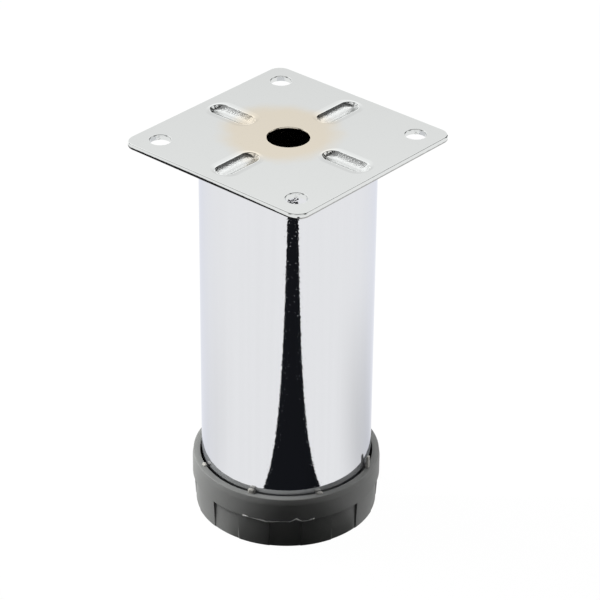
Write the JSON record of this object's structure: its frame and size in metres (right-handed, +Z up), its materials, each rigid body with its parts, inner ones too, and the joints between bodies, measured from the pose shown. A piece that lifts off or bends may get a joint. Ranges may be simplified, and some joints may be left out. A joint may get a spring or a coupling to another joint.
{
  "type": "furniture leg",
  "caption": "Round chrome-plated furniture leg with a square screw-on plate and a grey plastic foot cup that turns on a screw to adjust the height.",
  "frame": {"origin": "on the floor, under the middle of the foot, with the foot screwed home", "axes": "+Z up along the tube, X and Y along the sides of the mounting plate"},
  "size_m": [0.065, 0.065, 0.12],
  "materials": {
    "chrome_plated_steel": "bright chrome plating with a slight orange peel",
    "grey_polypropylene": "moulded, satin",
    "black_polypropylene": "moulded, satin",
    "zinc_plated_steel": "bright zinc plating"
  },
  "bodies": {
    "leg": {"mounting_plate": "chrome_plated_steel", "leg_tube": "chrome_plated_steel", "tube_plug": "black_polypropylene", "captive_nut": "zinc_plated_steel"},
    "adjusting_screw": {"adjusting_screw": "zinc_plated_steel"},
    "foot_cup": {"foot_cup": "grey_polypropylene"}
  },
  "joints": [
    {"name": "foot_height", "type": "slide", "parent": "leg", "child": "adjusting_screw", "axis": [0, 0, -1], "range_m": [0, 0.01]},
    {"name": "foot_turn", "type": "hinge", "parent": "adjusting_screw", "child": "foot_cup", "pos_m": [0, 0, 0], "axis": [0, 0, -1], "range_deg": [0, 2880]}
  ],
  "couplings": [
    {"joint": "foot_height", "follows": "foot_turn", "m_per_rad": 0.00019894}
  ]
}
